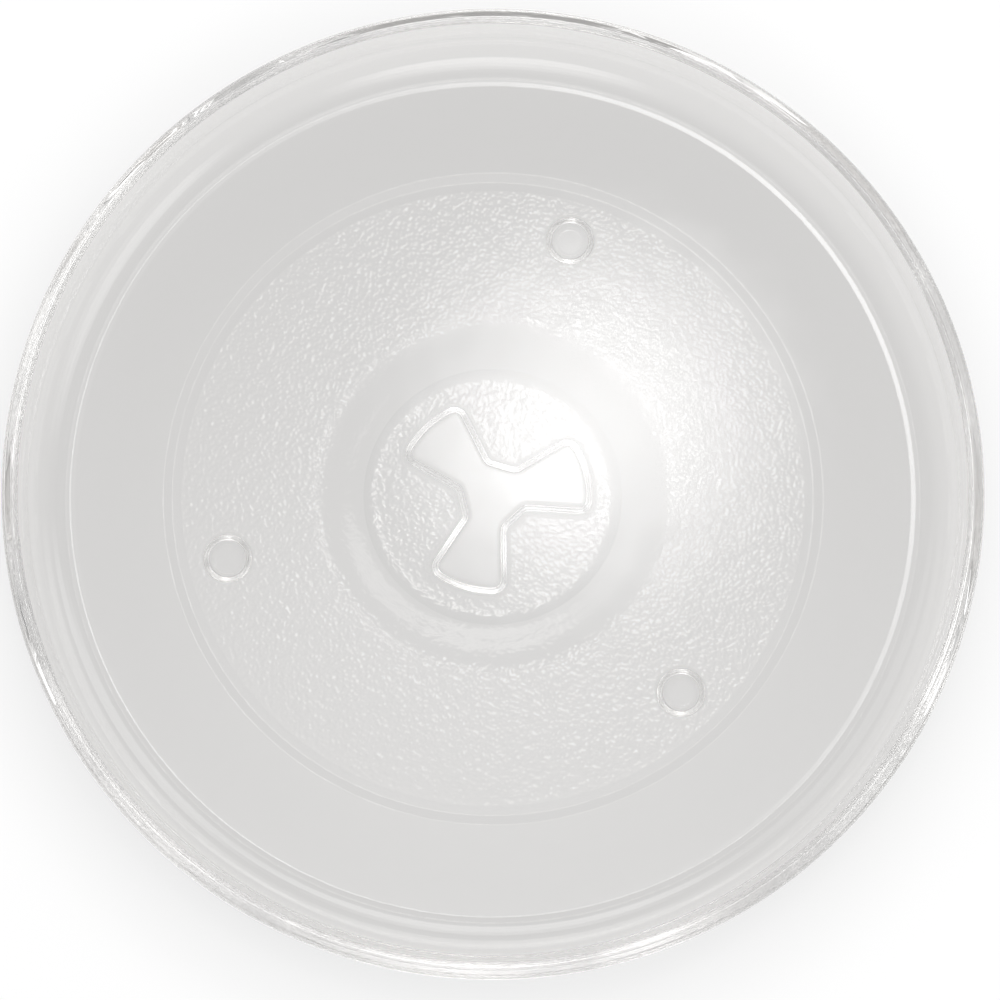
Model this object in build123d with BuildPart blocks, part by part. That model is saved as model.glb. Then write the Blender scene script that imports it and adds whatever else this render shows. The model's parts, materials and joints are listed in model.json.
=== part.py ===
"""Clear pressed-glass turntable plate of a microwave oven.

One solid. The origin is the centre of the circle that the feet stand on, +Z points up out of the dish,
and one foot and the socket lug in line with it lie on +Y. Sizes are in millimetres and degrees.
"""

import os
from math import atan2, cos, hypot, radians, sin, tan

from build123d import *

# Dish and rim
plate_diameter = 255.0
overall_height = 23.0
floor_thickness = 5.2
rim_thickness = 4.6
lip_flat = 1.4
wall_lean = 20.0
cove_radius = 13.0

# Heel, the slope under the wall that the outer edge of the roller track runs up to
heel_width = 14.9
heel_height = 6.0
heel_upper_radius = 2.5
heel_lower_radius = 1.5

# Underside: a smooth roller track inside the heel, and a gentle step down to the pebbled field
track_width = 26.0
step_width = 2.4
step_height = 0.25
step_radius = 3.0

# Feet
foot_count = 3
foot_inset = 6.7
foot_height = 4.2
foot_tip_radius = 5.4
foot_root_radius = 6.0
foot_edge_radius = 2.4
foot_blend_radius = 1.0

# Hub that holds the drive socket, clear of the surface that the feet stand on. Its flank is a soft double
# curve: the shares are the parts of the flank that the bends at the land and at the field take up
hub_clearance = 2.0
hub_land_margin = 8.3
hub_flank_width = 9.0
hub_edge_share = 0.42
hub_blend_share = 0.54

# Drive socket: three lobes that widen outward, parted by three lugs
lug_count = 3
lobe_radius = 25.7
lobe_wall_angle = 17.0
lobe_corner_radius = 3.2
lug_tip_radius = 8.5
lug_tip_width = 7.4
lug_corner_radius = 2.4
lug_overrun = 2.0
socket_depth = 4.2
socket_draft = 12.0
socket_mouth_radius = 2.0
socket_floor_radius = 1.5

# The first foot and the first lug are on +Y
first_angle = 90.0

plate_radius = plate_diameter / 2
heel_radius = plate_radius - heel_width
field_radius = heel_radius - track_width - step_width
foot_circle_radius = field_radius - foot_inset - foot_root_radius
field_z = foot_height
track_z = field_z + step_height
floor_z = field_z + floor_thickness
heel_z = track_z + heel_height
land_z = hub_clearance
lean = radians(wall_lean)

hub_land_radius = lobe_radius + hub_land_margin
flank_rise = field_z - land_z
flank_length = hypot(hub_flank_width, flank_rise)
flank_turn = atan2(flank_rise, hub_flank_width)
hub_edge_radius = hub_edge_share * flank_length / tan(flank_turn / 2)
hub_blend_radius = hub_blend_share * flank_length / tan(flank_turn / 2)

# The wall leans outward, with its two faces parallel and its lip rounded on both sides of a narrow flat
across = Vector(cos(lean), -sin(lean))
upward = Vector(sin(lean), cos(lean))
lip_radius = (rim_thickness - lip_flat) / 2
lip_middle = Vector(
    plate_radius - lip_radius - across.X * lip_flat / 2,
    overall_height - lip_radius + across.Y * lip_flat / 2,
)
wall_inner = lip_middle - across * rim_thickness / 2
wall_outer = lip_middle + across * rim_thickness / 2
cove_corner = (wall_inner.X - (wall_inner.Y - floor_z) * tan(lean), floor_z)
heel_top = (wall_outer.X - (wall_outer.Y - heel_z) * tan(lean), heel_z)

# The flanks of a lug follow the walls of the lobes beside it
lug_reach = lobe_radius + lug_overrun
lug_flank_angle = 180.0 / lug_count - lobe_wall_angle
lug_tip_half = lug_tip_width / 2
lug_root_half = lug_tip_half + (lug_reach - lug_tip_radius) * tan(radians(lug_flank_angle))


def axis_distance(corner):
    """Distance of a corner of the socket's outline from the middle, to the nearest micrometre."""
    return round(corner.center().length, 3)


with BuildPart() as plate:
    with BuildSketch(Plane.XZ):
        with BuildLine():
            FilletPolyline(
                (0, floor_z),
                cove_corner,
                wall_inner + upward * lip_radius,
                wall_outer + upward * lip_radius,
                heel_top,
                (heel_radius, track_z),
                (field_radius + step_width, track_z),
                (field_radius, field_z),
                (hub_land_radius + hub_flank_width, field_z),
                (hub_land_radius, land_z),
                (0, land_z),
                radius=[
                    cove_radius,
                    lip_radius,
                    lip_radius,
                    heel_upper_radius,
                    heel_lower_radius,
                    step_radius,
                    step_radius,
                    hub_blend_radius,
                    hub_edge_radius,
                ],
            )
            Line((0, land_z), (0, floor_z))
        make_face()
    revolve(axis=Axis.Z)

    # Drive socket, widest at its mouth
    with BuildSketch(Plane.XY.offset(land_z)) as socket:
        Circle(lobe_radius)
        with PolarLocations(0, lug_count, start_angle=first_angle):
            Polygon(
                (lug_tip_radius, -lug_tip_half),
                (lug_reach, -lug_root_half),
                (lug_reach, lug_root_half),
                (lug_tip_radius, lug_tip_half),
                align=None,
                mode=Mode.SUBTRACT,
            )
        fillet(socket.vertices().group_by(axis_distance)[-1], lobe_corner_radius)
        fillet(socket.vertices().group_by(axis_distance)[0], lug_corner_radius)
    extrude(amount=socket_depth, taper=socket_draft, mode=Mode.SUBTRACT)
    ceiling = plate.faces(Select.LAST).filter_by(Axis.Z).sort_by(Axis.Z)[-1]
    fillet(ceiling.edges(), socket_floor_radius)
    land = plate.faces().filter_by(Axis.Z).sort_by(Axis.Z)[0]
    fillet(land.inner_wires()[0].edges(), socket_mouth_radius)

    # Feet
    with PolarLocations(foot_circle_radius, foot_count, start_angle=first_angle):
        Cone(
            foot_tip_radius,
            foot_root_radius,
            foot_height,
            align=(Align.CENTER, Align.CENTER, Align.MIN),
        )
    rings = plate.edges(Select.LAST).filter_by(GeomType.CIRCLE).group_by(Axis.Z)
    fillet(rings[-1], foot_blend_radius)
    fillet(rings[0], foot_edge_radius)

plate.part.label = "glass_plate"
os.makedirs("parts", exist_ok=True)
export_step(plate.part, "parts/glass_plate.step")
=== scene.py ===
"""Looks of the clear glass turntable plate: a fine glass skin on the CAD frame, a pale floor, soft light.

The skin follows the CAD solid, and adds the pebbles pressed into the field under the plate.
Sizes are in millimetres and degrees. A radiance of 1 is white.
"""

import json
from math import atan2, ceil, cos, degrees, hypot, pi, radians, sin, sqrt, tan

import bmesh
import bpy
import numpy as np
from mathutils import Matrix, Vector, noise
from mathutils.geometry import delaunay_2d_cdt


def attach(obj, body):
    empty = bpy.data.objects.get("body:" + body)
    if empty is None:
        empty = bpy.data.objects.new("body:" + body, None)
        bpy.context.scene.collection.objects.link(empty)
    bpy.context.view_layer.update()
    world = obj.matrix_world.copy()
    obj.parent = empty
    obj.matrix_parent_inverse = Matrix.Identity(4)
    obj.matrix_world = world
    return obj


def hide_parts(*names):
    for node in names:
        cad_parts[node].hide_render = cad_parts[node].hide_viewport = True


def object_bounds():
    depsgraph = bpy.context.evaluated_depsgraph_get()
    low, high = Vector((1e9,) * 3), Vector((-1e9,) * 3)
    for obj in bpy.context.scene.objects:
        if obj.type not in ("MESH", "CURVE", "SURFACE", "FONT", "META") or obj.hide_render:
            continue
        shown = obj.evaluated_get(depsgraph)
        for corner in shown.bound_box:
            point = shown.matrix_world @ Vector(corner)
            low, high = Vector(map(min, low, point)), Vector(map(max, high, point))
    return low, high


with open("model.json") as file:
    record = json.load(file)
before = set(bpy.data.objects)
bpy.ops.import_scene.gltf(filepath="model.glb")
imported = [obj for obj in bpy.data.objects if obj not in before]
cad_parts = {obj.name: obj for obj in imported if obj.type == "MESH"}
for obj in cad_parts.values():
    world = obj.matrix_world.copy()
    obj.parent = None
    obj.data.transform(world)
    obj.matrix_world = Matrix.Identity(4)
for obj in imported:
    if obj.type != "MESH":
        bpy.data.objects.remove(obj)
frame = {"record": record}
CAD_LOW, CAD_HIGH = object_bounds()

MM = 0.001
MOUNTS = {mount["name"]: Vector(mount["pos_m"]) / MM for mount in frame["record"]["mounts"]}

# Levels and radii that the frame gives
PLATE_RADIUS = CAD_HIGH.x / MM
OVERALL_HEIGHT = CAD_HIGH.z / MM
FLOOR_Z = MOUNTS["dish_floor"].z
TRACK_Z = MOUNTS["roller_track"].z
LAND_Z = MOUNTS["drive_socket"].z
FOOT_CIRCLE_RADIUS = MOUNTS["foot_face"].y

# Rim
RIM_THICKNESS = 4.6
LIP_FLAT = 1.4
WALL_LEAN = 20.0
COVE_RADIUS = 13.0

# Heel under the wall
HEEL_WIDTH = 14.9
HEEL_HEIGHT = 6.0
HEEL_UPPER_RADIUS = 2.5
HEEL_LOWER_RADIUS = 1.5

# Underside
TRACK_WIDTH = 26.0
STEP_WIDTH = 2.4
STEP_HEIGHT = 0.25
STEP_RADIUS = 3.0
FIELD_Z = TRACK_Z - STEP_HEIGHT
FIELD_RADIUS = PLATE_RADIUS - HEEL_WIDTH - TRACK_WIDTH - STEP_WIDTH

# Feet, three of them, the first on +Y
TURNS = (90.0, 210.0, 330.0)
FOOT_TIP_RADIUS = 5.4
FOOT_ROOT_RADIUS = 6.0
FOOT_EDGE_RADIUS = 2.4
FOOT_BLEND_RADIUS = 1.0

# Drive socket
LOBE_RADIUS = 25.7
LOBE_WALL_ANGLE = 17.0
LOBE_CORNER_RADIUS = 3.2
LUG_TIP_RADIUS = 8.5
LUG_TIP_WIDTH = 7.4
LUG_CORNER_RADIUS = 2.4
SOCKET_DEPTH = 4.2
SOCKET_DRAFT = 12.0
SOCKET_MOUTH_RADIUS = 2.0
SOCKET_FLOOR_RADIUS = 1.5

# Hub round the socket, with the shares of its flank that the bends at the land and at the field take up
HUB_LAND_MARGIN = 8.3
HUB_LAND_RADIUS = LOBE_RADIUS + HUB_LAND_MARGIN
HUB_FLANK_WIDTH = 9.0
HUB_EDGE_SHARE = 0.42
HUB_BLEND_SHARE = 0.54

# Glass tints: one clear tint for the smooth faces, a lighter copy on the pebbles as painted light for the
# glow they scatter, and a darker copy on the thick hub as painted shade
CLEAR_TINT = (0.872, 0.863, 0.852)
# painted shade: the hub's tint is darker than the clear tint
HUB_SHADED_TINT = (0.82, 0.812, 0.801)
# painted light: the pebbled tint is lighter than the clear tint
PEBBLED_LIT_TINT = (0.912, 0.902, 0.89)
GLASS_IOR = 1.5

# Pebbles of the field and the hub, fading out at their edges, with a second and quicker wave
PEBBLE_PERIOD = 1.5
PEBBLE_HEIGHT = 0.026
PEBBLE_FADE = 1.2
WAVE_SHARE = 0.4
WAVE_RATE = 1.9
WAVE_START = Vector((7.3, 2.1, 5.0))

# Finer pebbles between them, as a bump of the glass, milder on the hub
FINE_PERIOD = 1.0
FINE_HEIGHT = 0.058
FINE_HUB_SHARE = 0.5

# Faint ripple that pressing leaves in the smooth faces, as a bump
RIPPLE_PERIOD = 9.0
RIPPLE_HEIGHT = 0.018

# Finishes of the skin, in the order of its materials
CLEAR, HUB, PEBBLED = range(3)

# Fineness of the skin: points round the axis and round a foot, degrees to a step of an arc, parts of
# the socket's outline, the place of the points that keep a straight flat, the spacing of the field's points,
# and how near points have to be to count as one
AROUND = 320
AROUND_FOOT = 72
ARC_STEP = 6.0
HUB_ARC_STEP = 0.5
LUG_TIP_PARTS = 4
LUG_FLANK_PARTS = 26
LOBE_PARTS = 16
GUARD = 0.25
GRAIN = 0.72
SAME_POINT = 0.001
SAME_PLAN_POINT = 1e-6

# View: the camera looks down on the dish, a little from the front
CAMERA_AZIMUTH = 16.6
CAMERA_ELEVATION = 81.0
CAMERA_DISTANCE = 1200.0
VIEW_WIDTH = 259.3
VIEW_RIGHT = 1.85
VIEW_DOWN = 3.6
SENSOR_WIDTH = 36.0
CLIP_START = 50.0

# Floor, just under the feet, with its matt colour and the radiance that whitens it
STAGE_SIZE = 12000.0
STAGE_DROP = 0.3
STAGE_COLOUR = 0.3
STAGE_GLOW = 0.72

# Sky: its tone at the horizon, and its tone from a height of this share of straight up
SKY_LOW_TONE = 0.05
SKY_HIGH_TONE = 0.79
SKY_HIGH_FROM = 0.8

# Round lamps overhead, each placed by where it is mirrored in the dish floor, to the right and onward
LAMP_DISTANCE = 1500.0
LAMP_GLINT = (25.0, 20.0)
LAMP_SIZE = 290.0
LAMP_RADIANCE = 7.5
HALO_GLINT = (0.0, -60.0)
HALO_SIZE = 800.0
HALO_RADIANCE = 1.1

# Windows round the plate: the turn from onward to the right, and the radiance
WINDOWS = ((0, 2.6), (45, 2.0), (110, 1.2), (180, 1.6), (315, 0.9))
WINDOW_REACH = 1042.0
WINDOW_Z = 1079.0
WINDOW_WIDTH = 1200.0
WINDOW_HEIGHT = 700.0
WINDOW_CORE = 0.5

# Crossings of the glass that a ray can make, enough to keep the rim from going dark
GLASS_BOUNCES = 32


def rounded(corners, radii, step=ARC_STEP):
    """Points along a path whose inner corners are rounded to these radii."""
    corners = [Vector(corner) for corner in corners]
    path = [corners[0]]
    for before, corner, after, radius in zip(corners, corners[1:], corners[2:], radii):
        back = (before - corner).normalized()
        onward = (after - corner).normalized()
        turn = pi - back.angle(onward)
        reach = radius * tan(turn / 2)
        centre = corner + (back + onward).normalized() * (radius / cos(turn / 2))
        path += arc(centre, corner + back * reach, corner + onward * reach, step)
    return path + [corners[-1]]


def arc(centre, start, end, step=ARC_STEP):
    """Points on the short arc around centre, both ends among them."""
    first, last = start - centre, end - centre
    turn = first.angle(last)
    count = max(2, ceil(degrees(turn) / step))
    parts = [i / count for i in range(count + 1)]
    return [
        centre + (first * sin((1 - part) * turn) + last * sin(part * turn)) / sin(turn) for part in parts
    ]


def guarded(path):
    """The path with a point close to both ends of each long straight, so that the straight shades flat."""
    points = [path[0]]
    for start, end in zip(path, path[1:]):
        way = end - start
        if way.length > 4 * GUARD:
            points += [start + way.normalized() * GUARD, end - way.normalized() * GUARD]
        points.append(end)
    return points


class Skin:
    """Patches of surface that meet along shared edges and close up into one mesh."""

    def __init__(self):
        self.points = []
        self.faces = []
        self.finishes = []

    def add(self, points, faces, finishes=None):
        """A patch of faces, clear unless it says otherwise."""
        first = len(self.points)
        self.points += [tuple(point) for point in points]
        self.faces += [tuple(first + corner for corner in face) for face in faces]
        self.finishes += finishes or [CLEAR] * len(faces)

    def lace(self, loops):
        """Bands of faces between neighbouring loops, all with the same number of points."""
        count = len(loops[0])
        quads = [
            (row + i, row + (i + 1) % count, row + count + (i + 1) % count, row + count + i)
            for row in range(0, count * (len(loops) - 1), count)
            for i in range(count)
        ]
        self.add([point for loop in loops for point in loop], quads)

    def fan(self, loop, middle):
        """Faces from a loop to one point inside it."""
        count = len(loop)
        self.add(list(loop) + [middle], [(i, (i + 1) % count, count) for i in range(count)])

    def mesh(self, name):
        """All patches, welded where they meet, in metres."""
        shape = bmesh.new()
        corners = [shape.verts.new(Vector(point) * MM) for point in self.points]
        for face, finish in zip(self.faces, self.finishes):
            shape.faces.new([corners[corner] for corner in face]).material_index = finish
        bmesh.ops.remove_doubles(shape, verts=shape.verts, dist=SAME_POINT * MM)
        bmesh.ops.recalc_face_normals(shape, faces=shape.faces)
        for face in shape.faces:
            face.smooth = True
        data = bpy.data.meshes.new(name)
        shape.to_mesh(data)
        shape.free()
        return data


def circle(radius, middle, count):
    """Points of a circle in plan."""
    turns = [2 * pi * i / count for i in range(count)]
    return [(middle.x + radius * cos(turn), middle.y + radius * sin(turn)) for turn in turns]


def spun(path, middle, count):
    """A circle for each point of a path, which gives the circle's radius and its height."""
    return [[(x, y, z) for x, y in circle(radius, middle, count)] for radius, z in path]


def rim_path():
    """Half section of the smooth faces, from the middle of the dish floor over the lip to the field."""
    lean = radians(WALL_LEAN)
    across = Vector((cos(lean), -sin(lean)))
    upward = Vector((sin(lean), cos(lean)))
    lip_radius = (RIM_THICKNESS - LIP_FLAT) / 2
    lip_middle = Vector((PLATE_RADIUS - lip_radius, OVERALL_HEIGHT - lip_radius))
    lip_middle += Vector((-across.x, across.y)) * LIP_FLAT / 2
    inner = lip_middle - across * RIM_THICKNESS / 2
    outer = lip_middle + across * RIM_THICKNESS / 2
    heel_z = TRACK_Z + HEEL_HEIGHT
    path = rounded(
        [
            (GUARD, FLOOR_Z),
            (inner.x - (inner.y - FLOOR_Z) * tan(lean), FLOOR_Z),
            inner + upward * lip_radius,
            outer + upward * lip_radius,
            (outer.x - (outer.y - heel_z) * tan(lean), heel_z),
            (PLATE_RADIUS - HEEL_WIDTH, TRACK_Z),
            (FIELD_RADIUS + STEP_WIDTH, TRACK_Z),
            (FIELD_RADIUS, FIELD_Z),
            (FIELD_RADIUS - STEP_WIDTH, FIELD_Z),
        ],
        [
            COVE_RADIUS,
            lip_radius,
            lip_radius,
            HEEL_UPPER_RADIUS,
            HEEL_LOWER_RADIUS,
            STEP_RADIUS,
            STEP_RADIUS,
        ],
    )
    return guarded(path)


def foot_path():
    """Half section of a foot, from where it leaves the field to near the middle of its tip."""
    path = rounded(
        [
            (FOOT_ROOT_RADIUS + 2 * FOOT_BLEND_RADIUS, FIELD_Z),
            (FOOT_ROOT_RADIUS, FIELD_Z),
            (FOOT_TIP_RADIUS, 0),
            (GUARD, 0),
        ],
        [FOOT_BLEND_RADIUS, FOOT_EDGE_RADIUS],
    )
    return guarded(path[1:])


def hub_path():
    """Half section of the field and the hub, from the hub's middle outward."""
    rise = FIELD_Z - LAND_Z
    bend = hypot(HUB_FLANK_WIDTH, rise) / tan(atan2(rise, HUB_FLANK_WIDTH) / 2)
    return rounded(
        [
            (0, LAND_Z),
            (HUB_LAND_RADIUS, LAND_Z),
            (HUB_LAND_RADIUS + HUB_FLANK_WIDTH, FIELD_Z),
            (FIELD_RADIUS, FIELD_Z),
        ],
        [HUB_EDGE_SHARE * bend, HUB_BLEND_SHARE * bend],
        HUB_ARC_STEP,
    )


def socket_path():
    """Section of the socket's side, as its inset from the mouth's outline and its height."""
    inset = SOCKET_DEPTH * tan(radians(SOCKET_DRAFT))
    reach = SOCKET_FLOOR_RADIUS * tan(radians(90 - SOCKET_DRAFT) / 2)
    ceiling_z = LAND_Z + SOCKET_DEPTH
    path = rounded(
        [
            (-2 * SOCKET_MOUTH_RADIUS, LAND_Z),
            (0, LAND_Z),
            (inset, ceiling_z),
            (inset + reach + GUARD, ceiling_z),
        ],
        [SOCKET_MOUTH_RADIUS, SOCKET_FLOOR_RADIUS],
    )
    return guarded(path[1:])


def divided(start, end, count):
    """Points between start and end, neither of them among the points."""
    return [start.lerp(end, i / count) for i in range(1, count)]


def socket_half(inset):
    """The outline from the middle of a lug's tip on +X to the middle of a lobe, moved inward by inset."""
    flank = radians(180 / len(TURNS) - LOBE_WALL_ANGLE)
    along = Vector((cos(flank), sin(flank)))
    aside = Vector((-sin(flank), cos(flank)))
    tip = Vector((LUG_TIP_RADIUS - inset, LUG_TIP_WIDTH / 2 + inset * (1 / cos(flank) - tan(flank))))
    corner_radius = LOBE_CORNER_RADIUS - inset
    lobe_radius = LOBE_RADIUS - inset
    corner_circle = lobe_radius - corner_radius
    base = tip + aside * corner_radius
    shift = base.dot(along)
    run = sqrt(shift**2 - base.length_squared + corner_circle**2) - shift
    centre = base + along * run
    touch = centre * (lobe_radius / corner_circle)

    tip_round = rounded([(tip.x, 0), tip, tip + along * run], [LUG_CORNER_RADIUS + inset])
    half = tip_round[:1] + divided(tip_round[0], tip_round[1], LUG_TIP_PARTS) + tip_round[1:-1]
    half += divided(half[-1], tip_round[-1], LUG_FLANK_PARTS)
    half += arc(centre, tip + along * run, touch)
    start = atan2(touch.y, touch.x)
    sweep = pi / len(TURNS) - start
    turns = [start + sweep * i / LOBE_PARTS for i in range(1, LOBE_PARTS + 1)]
    return half + [Vector((cos(turn), sin(turn))) * lobe_radius for turn in turns]


def socket_outline(inset):
    """The socket's outline in plan, moved into the socket by inset."""
    half = socket_half(inset)
    mirrored = [Vector((point.x, -point.y)) for point in half[-2:0:-1]]
    outline = []
    for turn in TURNS:
        c, s = cos(radians(turn)), sin(radians(turn))
        outline += [(c * p.x - s * p.y, s * p.x + c * p.y) for p in mirrored + half]
    return outline


def inside(outline, points):
    """Which points lie within a closed outline."""
    x, y = points[:, 0], points[:, 1]
    within = np.zeros(len(points), bool)
    for (x0, y0), (x1, y1) in zip(outline, outline[1:] + outline[:1]):
        spans = (y0 > y) != (y1 > y)
        if spans.any():
            within ^= spans & (x < (x1 - x0) * (y - y0) / (y1 - y0) + x0)
    return within


def foot_middles():
    """The middle of each foot in plan."""
    return [Vector((cos(radians(t)), sin(radians(t)))) * FOOT_CIRCLE_RADIUS for t in TURNS]


def foot_room(points, foot_radius):
    """Distance from each point to the circle round the nearest foot, less than 0 within it."""
    gaps = [np.hypot(points[:, 0] - foot.x, points[:, 1] - foot.y) for foot in foot_middles()]
    return np.min(gaps, 0) - foot_radius


def mouth_room(points, mouth):
    """Distance from each point to the outline of the socket's mouth, endless where it is far."""
    outline = np.array(mouth)
    room = np.full(len(points), np.inf)
    near = np.hypot(points[:, 0], points[:, 1]) < LOBE_RADIUS + SOCKET_MOUTH_RADIUS + PEBBLE_FADE
    room[near] = [np.sqrt(((outline - point) ** 2).sum(1)).min() for point in points[near]]
    return room


def pebble(x, y):
    """Height of the pebbled surface above its mean, from about -1 to 1."""
    place = Vector((x, y, 0)) / PEBBLE_PERIOD
    return noise.noise(place) + WAVE_SHARE * noise.noise(place * WAVE_RATE + WAVE_START)


def field_points(edge_radius, foot_radius, mouth):
    """Evenly spaced points on rings, clear of the field's edges."""
    radii = np.arange(LUG_TIP_RADIUS, edge_radius - GRAIN / 2, GRAIN * sqrt(3) / 2)
    rings = []
    for row, radius in enumerate(radii):
        count = round(2 * pi * radius / GRAIN)
        turns = (np.arange(count) + row % 2 / 2) * 2 * pi / count
        rings.append(np.stack([radius * np.cos(turns), radius * np.sin(turns)], 1))
    points = np.concatenate(rings)
    room = np.minimum(foot_room(points, foot_radius), mouth_room(points, mouth))
    return points[(room > GRAIN / 2) & ~inside(mouth, points)]


def field_plan(edge_radius, foot_radius, mouth):
    """Corners and triangles of the field in plan, with holes for the feet and the socket."""
    loops = [circle(edge_radius, Vector((0, 0)), AROUND), mouth]
    loops += [circle(foot_radius, middle, AROUND_FOOT) for middle in foot_middles()]
    edges = []
    for loop in loops:
        first = len(edges)
        edges += [(first + i, first + (i + 1) % len(loop)) for i in range(len(loop))]
    plan = [Vector(point) for loop in loops for point in loop]
    plan += [Vector(point) for point in field_points(edge_radius, foot_radius, mouth)]
    corners, _, triangles, *_ = delaunay_2d_cdt(plan, edges, [], 0, SAME_PLAN_POINT)
    corners = np.array([tuple(corner) for corner in corners])
    triangles = np.array([tuple(triangle) for triangle in triangles])
    middles = corners[triangles].mean(1)
    return corners, triangles[~inside(mouth, middles) & (foot_room(middles, foot_radius) > 0)]


def add_field(skin, edge_radius, foot_radius, mouth):
    """The pebbled underside between the track, the feet and the mouth of the socket."""
    corners, triangles = field_plan(edge_radius, foot_radius, mouth)
    section = np.array([tuple(point) for point in hub_path()])
    reach = np.hypot(corners[:, 0], corners[:, 1])
    room = np.minimum(foot_room(corners, foot_radius), mouth_room(corners, mouth))
    fade = np.clip(np.minimum(room, edge_radius - reach) / PEBBLE_FADE, 0, 1)
    fade = fade * fade * (3 - 2 * fade)
    grain = np.array([pebble(x, y) for x, y in corners])
    heights = np.interp(reach, section[:, 0], section[:, 1]) + PEBBLE_HEIGHT * fade * grain
    outside = reach[triangles].min(1) > HUB_LAND_RADIUS
    skin.add(
        [(x, y, z) for (x, y), z in zip(corners, heights)],
        triangles.tolist(),
        np.where(outside, PEBBLED, HUB).tolist(),
    )


def add_socket(skin):
    """Side and ceiling of the drive socket; returns the outline of its mouth on the hub."""
    loops = [[(x, y, z) for x, y in socket_outline(inset)] for inset, z in socket_path()]
    skin.lace(loops)
    skin.fan(loops[-1], (0, 0, loops[-1][0][2]))
    return [point[:2] for point in loops[0]]


def plate_skin():
    """The faces of the whole plate."""
    skin = Skin()
    rim = rim_path()
    loops = spun(rim, Vector((0, 0)), AROUND)
    skin.lace(loops)
    skin.fan(loops[0], (0, 0, FLOOR_Z))
    mouth = add_socket(skin)
    foot = foot_path()
    for middle in foot_middles():
        loops = spun(foot, middle, AROUND_FOOT)
        skin.lace(loops)
        skin.fan(loops[-1], (middle.x, middle.y, 0))
    add_field(skin, rim[-1].x, foot[0].x, mouth)
    return skin


def add_plate():
    """The whole plate as one closed mesh in place of the CAD node."""
    plate = bpy.data.objects.new("plate", plate_skin().mesh("plate"))
    for material in (clear_glass(), hub_glass(), pebbled_glass()):
        plate.data.materials.append(material)
    bpy.context.scene.collection.objects.link(plate)
    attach(plate, "root")
    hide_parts("glass_plate")


def glass(name, tint):
    """Clear soda-lime glass, tinted a little where its faces are crossed."""
    material = bpy.data.materials.new(name)
    material.use_nodes = True
    shader = material.node_tree.nodes["Principled BSDF"]
    shader.inputs["Base Color"].default_value = (*tint, 1)
    shader.inputs["Roughness"].default_value = 0.0
    shader.inputs["IOR"].default_value = GLASS_IOR
    shader.inputs["Transmission Weight"].default_value = 1.0
    return material


def add_bump(material, period, height):
    """Rounded bumps all over a glass; returns the nodes for their place and for their bump."""
    nodes, links = material.node_tree.nodes, material.node_tree.links
    place = nodes.new("ShaderNodeTexCoord")
    bumps = nodes.new("ShaderNodeTexNoise")
    bumps.inputs["Scale"].default_value = 1 / (period * MM)
    bumps.inputs["Detail"].default_value = 0.0
    bump = nodes.new("ShaderNodeBump")
    bump.inputs["Distance"].default_value = height * MM
    links.new(place.outputs["Object"], bumps.inputs["Vector"])
    links.new(bumps.outputs["Fac"], bump.inputs["Height"])
    links.new(bump.outputs["Normal"], nodes["Principled BSDF"].inputs["Normal"])
    return place, bump


def add_fine_pebbles(material):
    """The finer pebbles, milder on the hub than on the field."""
    place, bump = add_bump(material, FINE_PERIOD, FINE_HEIGHT)
    nodes, links = material.node_tree.nodes, material.node_tree.links
    reach = nodes.new("ShaderNodeVectorMath")
    reach.operation = "LENGTH"
    share = nodes.new("ShaderNodeMapRange")
    share.inputs["From Min"].default_value = HUB_LAND_RADIUS * MM
    share.inputs["From Max"].default_value = (HUB_LAND_RADIUS + HUB_FLANK_WIDTH) * MM
    share.inputs["To Min"].default_value = FINE_HUB_SHARE
    links.new(place.outputs["Object"], reach.inputs[0])
    links.new(reach.outputs["Value"], share.inputs["Value"])
    links.new(share.outputs["Result"], bump.inputs["Strength"])


def clear_glass():
    """Glass of the smooth faces."""
    material = glass("clear_glass", CLEAR_TINT)
    add_bump(material, RIPPLE_PERIOD, RIPPLE_HEIGHT)
    return material


def hub_glass():
    """Glass of the hub's land, tinted darker than the clear glass as painted shade."""
    material = glass("hub_glass", HUB_SHADED_TINT)
    add_fine_pebbles(material)
    return material


def pebbled_glass():
    """Glass of the field and of the hub's flank, tinted lighter than the clear glass as painted light."""
    material = glass("pebbled_glass", PEBBLED_LIT_TINT)
    add_fine_pebbles(material)
    return material


def stage_white():
    """Matt floor that looks white to the camera and in the glass, and still takes a shadow."""
    material = bpy.data.materials.new("stage_white")
    material.use_nodes = True
    nodes, links = material.node_tree.nodes, material.node_tree.links
    nodes.clear()
    path = nodes.new("ShaderNodeLightPath")
    seen = nodes.new("ShaderNodeMath")
    seen.operation = "MAXIMUM"
    links.new(path.outputs["Is Camera Ray"], seen.inputs[0])
    links.new(path.outputs["Is Transmission Ray"], seen.inputs[1])
    all_seen = nodes.new("ShaderNodeMath")
    all_seen.operation = "MAXIMUM"
    links.new(seen.outputs[0], all_seen.inputs[0])
    links.new(path.outputs["Is Glossy Ray"], all_seen.inputs[1])
    strength = nodes.new("ShaderNodeMath")
    strength.operation = "MULTIPLY"
    strength.inputs[1].default_value = STAGE_GLOW
    links.new(all_seen.outputs[0], strength.inputs[0])
    matt = nodes.new("ShaderNodeBsdfDiffuse")
    matt.inputs["Color"].default_value = (STAGE_COLOUR, STAGE_COLOUR, STAGE_COLOUR, 1)
    light = nodes.new("ShaderNodeEmission")
    links.new(strength.outputs[0], light.inputs["Strength"])
    both = nodes.new("ShaderNodeAddShader")
    links.new(matt.outputs[0], both.inputs[0])
    links.new(light.outputs[0], both.inputs[1])
    output = nodes.new("ShaderNodeOutputMaterial")
    links.new(both.outputs[0], output.inputs["Surface"])
    return material


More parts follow.
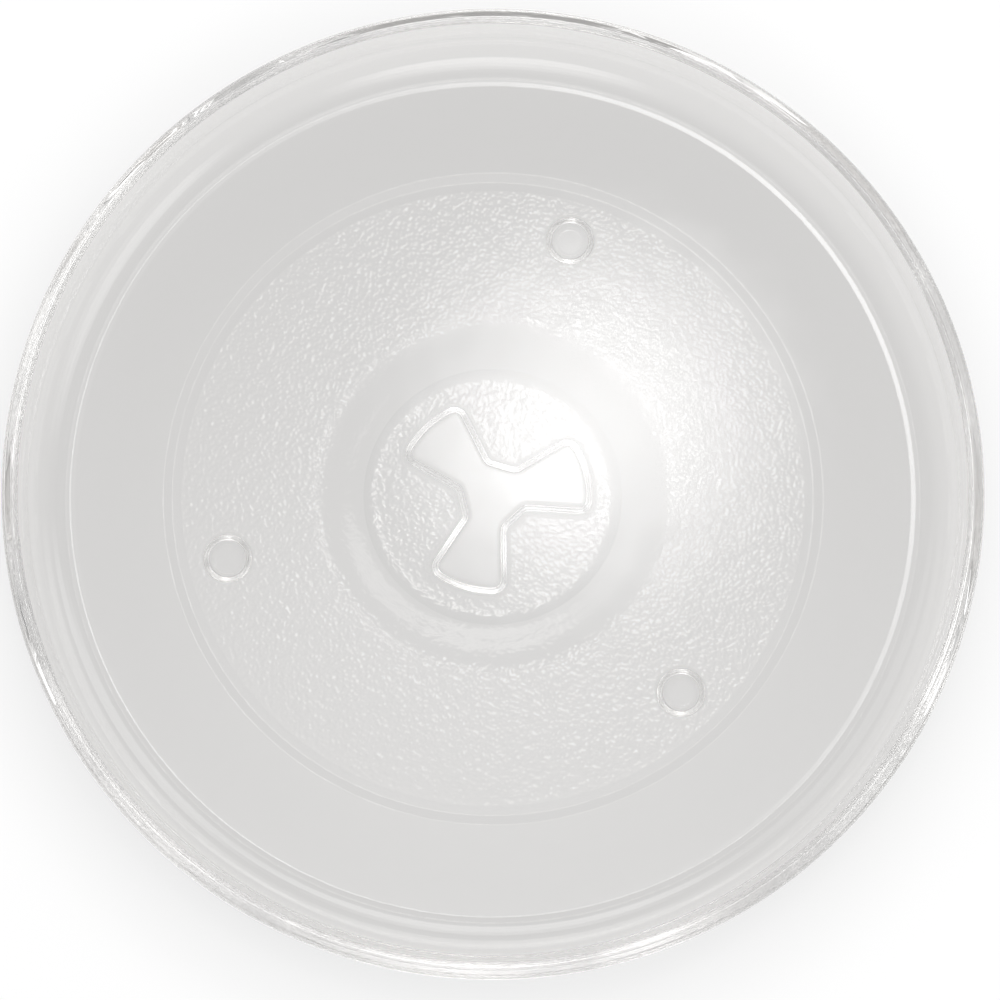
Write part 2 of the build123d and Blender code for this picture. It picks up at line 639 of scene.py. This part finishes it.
def add_floor():
    """A square floor just under the feet."""
    half = STAGE_SIZE / 2 * MM
    corners = [(-half, -half), (half, -half), (half, half), (-half, half)]
    data = bpy.data.meshes.new("floor")
    data.from_pydata([(x, y, -STAGE_DROP * MM) for x, y in corners], [], [(0, 1, 2, 3)])
    floor = bpy.data.objects.new("floor", data)
    floor.data.materials.append(stage_white())
    bpy.context.scene.collection.objects.link(floor)


def add_sky():
    """A room that is bright overhead and dimmer toward the horizon."""
    world = bpy.data.worlds.new("sky")
    world.use_nodes = True
    nodes, links = world.node_tree.nodes, world.node_tree.links
    place = nodes.new("ShaderNodeTexCoord")
    split = nodes.new("ShaderNodeSeparateXYZ")
    ramp = nodes.new("ShaderNodeValToRGB")
    horizon, overhead = ramp.color_ramp.elements
    horizon.position = 0.0
    horizon.color = (SKY_LOW_TONE, SKY_LOW_TONE, SKY_LOW_TONE, 1)
    overhead.position = SKY_HIGH_FROM
    overhead.color = (SKY_HIGH_TONE, SKY_HIGH_TONE, SKY_HIGH_TONE, 1)
    links.new(place.outputs["Generated"], split.inputs[0])
    links.new(split.outputs["Z"], ramp.inputs["Fac"])
    links.new(ramp.outputs["Color"], nodes["Background"].inputs["Color"])
    world.cycles.sampling_method = "NONE"
    bpy.context.scene.world = world


def camera_axes():
    """Directions to the right, upward and back out of the picture."""
    azimuth, elevation = radians(CAMERA_AZIMUTH), radians(CAMERA_ELEVATION)
    back = Vector((sin(azimuth) * cos(elevation), -cos(azimuth) * cos(elevation), sin(elevation)))
    right = Vector((cos(azimuth), sin(azimuth), 0))
    return right, back.cross(right), back


def add_camera():
    """The camera, aimed a little off the middle of the rim as in the photograph."""
    right, upward, back = camera_axes()
    rim_middle = Vector((0, 0, OVERALL_HEIGHT - (RIM_THICKNESS - LIP_FLAT) / 2))
    target = rim_middle + right * VIEW_RIGHT - upward * VIEW_DOWN
    data = bpy.data.cameras.new("camera")
    data.sensor_width = SENSOR_WIDTH
    data.lens = SENSOR_WIDTH * CAMERA_DISTANCE / VIEW_WIDTH
    data.clip_start = CLIP_START * MM
    camera = bpy.data.objects.new("camera", data)
    camera.location = (target + back * CAMERA_DISTANCE) * MM
    camera.rotation_euler = back.to_track_quat("Z", "Y").to_euler()
    bpy.context.scene.collection.objects.link(camera)
    bpy.context.scene.camera = camera


def add_panel(name, place, aim, width, height, core, radiance):
    """An oval flat light that faces a point, even across its core and fading to its edge."""
    data = bpy.data.lights.new(name, "AREA")
    data.shape = "ELLIPSE"
    data.size = width * MM
    data.size_y = height * MM
    data.energy = radiance * pi * pi / 4 * data.size * data.size_y
    data.use_nodes = True
    nodes, links = data.node_tree.nodes, data.node_tree.links
    place_on = nodes.new("ShaderNodeNewGeometry")
    middle = nodes.new("ShaderNodeVectorMath")
    middle.operation = "DISTANCE"
    middle.inputs[1].default_value = (0.5, 0.5, 0)
    fade = nodes.new("ShaderNodeMapRange")
    fade.interpolation_type = "SMOOTHSTEP"
    fade.inputs["From Min"].default_value = core / 2
    fade.inputs["From Max"].default_value = 0.5
    fade.inputs["To Min"].default_value = 1.0
    fade.inputs["To Max"].default_value = 0.0
    links.new(place_on.outputs["Parametric"], middle.inputs[0])
    links.new(middle.outputs["Value"], fade.inputs["Value"])
    links.new(fade.outputs["Result"], nodes["Emission"].inputs["Strength"])
    lamp = bpy.data.objects.new(name, data)
    lamp.location = place * MM
    lamp.rotation_euler = (place - aim).to_track_quat("Z", "Y").to_euler()
    bpy.context.scene.collection.objects.link(lamp)


def level_axes():
    """Level directions to the right and onward, away from the camera."""
    right, upward, _ = camera_axes()
    return right, Vector((upward.x, upward.y, 0)).normalized()


def add_round_lamp(name, glint, size, radiance):
    """A soft round lamp that is mirrored at this place of the dish floor's plane."""
    right, onward = level_axes()
    aim = right * glint[0] + onward * glint[1] + Vector((0, 0, FLOOR_Z))
    look = (aim - camera_axes()[2] * CAMERA_DISTANCE).normalized()
    place = aim + Vector((look.x, look.y, -look.z)) * LAMP_DISTANCE
    add_panel(name, place, aim, size, size, 0.0, radiance)


def add_lights():
    """A lamp that glows in the dish floor, a wider and dimmer one, and soft windows round the plate."""
    add_round_lamp("lamp", LAMP_GLINT, LAMP_SIZE, LAMP_RADIANCE)
    add_round_lamp("halo", HALO_GLINT, HALO_SIZE, HALO_RADIANCE)
    right, onward = level_axes()
    for turn, radiance in WINDOWS:
        side = onward * cos(radians(turn)) + right * sin(radians(turn))
        place = side * WINDOW_REACH + Vector((0, 0, WINDOW_Z))
        aim = Vector((0, 0, 0))
        add_panel("window", place, aim, WINDOW_WIDTH, WINDOW_HEIGHT, WINDOW_CORE, radiance)


def set_light_paths():
    """Many crossings of the glass, sharp glints, and no light thrown back by the floor."""
    cycles = bpy.context.scene.cycles
    cycles.max_bounces = GLASS_BOUNCES
    cycles.glossy_bounces = GLASS_BOUNCES
    cycles.transmission_bounces = GLASS_BOUNCES
    cycles.diffuse_bounces = 0
    cycles.blur_glossy = 0.0


add_plate()
add_floor()
add_sky()
add_camera()
add_lights()
set_light_paths()
bpy.context.scene.view_settings.view_transform = "Standard"
